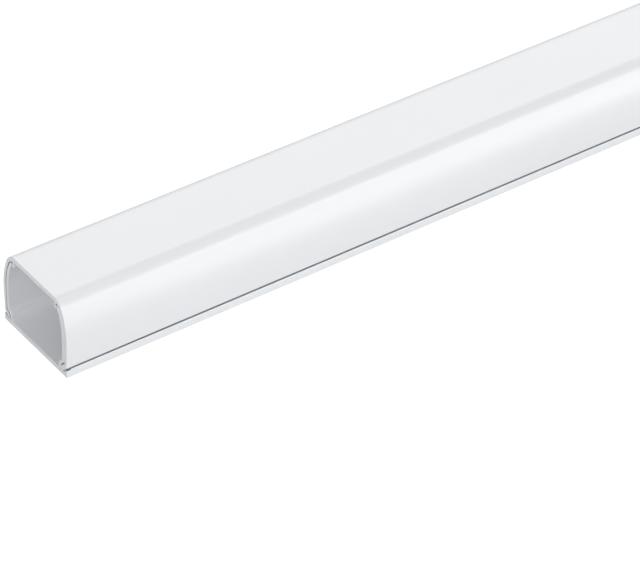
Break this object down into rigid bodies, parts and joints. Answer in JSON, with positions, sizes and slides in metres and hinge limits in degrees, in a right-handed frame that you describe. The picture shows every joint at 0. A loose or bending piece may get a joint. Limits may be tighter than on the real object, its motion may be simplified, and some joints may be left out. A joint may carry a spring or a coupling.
{
  "type": "cord cover raceway",
  "caption": "Long snap-together raceway that hides cords along a wall: a flat-backed channel base with curled walls, and a bowed cover hooked over it.",
  "frame": {"origin": "on the back face that meets the wall, at the middle of the length and of the width", "axes": "+X along the raceway, +Y across it, +Z away from the wall towards the cover's top"},
  "size_m": [0.4, 0.0252, 0.0194],
  "materials": {
    "white_pvc": "satin white rigid PVC with faint extrusion lines, matt on the sawn ends"
  },
  "bodies": {
    "base": {"base": "white_pvc"},
    "cover": {"cover": "white_pvc"}
  },
  "joints": [
    {"name": "cover_slide", "type": "slide", "parent": "base", "child": "cover", "axis": [1, 0, 0], "range_m": [-0.38, 0.38]}
  ]
}
